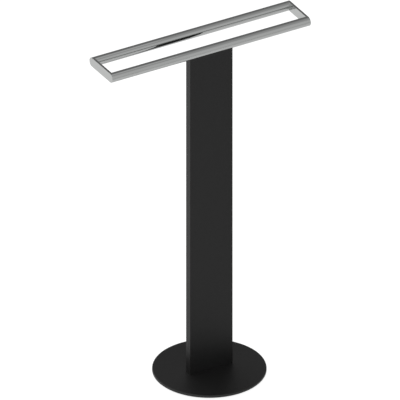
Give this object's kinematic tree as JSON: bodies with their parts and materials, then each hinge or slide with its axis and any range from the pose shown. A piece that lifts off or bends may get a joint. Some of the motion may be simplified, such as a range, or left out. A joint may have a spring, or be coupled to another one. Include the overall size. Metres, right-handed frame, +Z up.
{
  "type": "eyeglasses display stand",
  "caption": "Counter stand for one pair of glasses: black flat post on a thin round base, with a slim bright metal loop of two rails on top.",
  "frame": {"origin": "on the counter, under the middle of the round base plate, at the bottom of the rubber bumpers", "axes": "+Z up, +X along the loop's rails, -Y towards the front, where the rail over the post is"},
  "size_m": [0.14, 0.07, 0.2301],
  "materials": {
    "powder_coat": "fine matt black powder coat on steel",
    "polished_metal": "polished bright plating with faint lengthwise polishing lines",
    "bright_steel": "zinc-plated steel fixings",
    "black_rubber": "matt black rubber"
  },
  "bodies": {
    "root": {"base_plate": "powder_coat", "post": "powder_coat", "front_rail": "polished_metal", "back_rail": "polished_metal", "left_end_plate": "polished_metal", "right_end_plate": "polished_metal", "rail_dowel_left": "bright_steel", "rail_dowel_right": "bright_steel", "base_screw_left": "bright_steel", "base_screw_right": "bright_steel", "bumper_1": "black_rubber", "bumper_2": "black_rubber", "bumper_3": "black_rubber", "bumper_4": "black_rubber"}
  },
  "joints": []
}
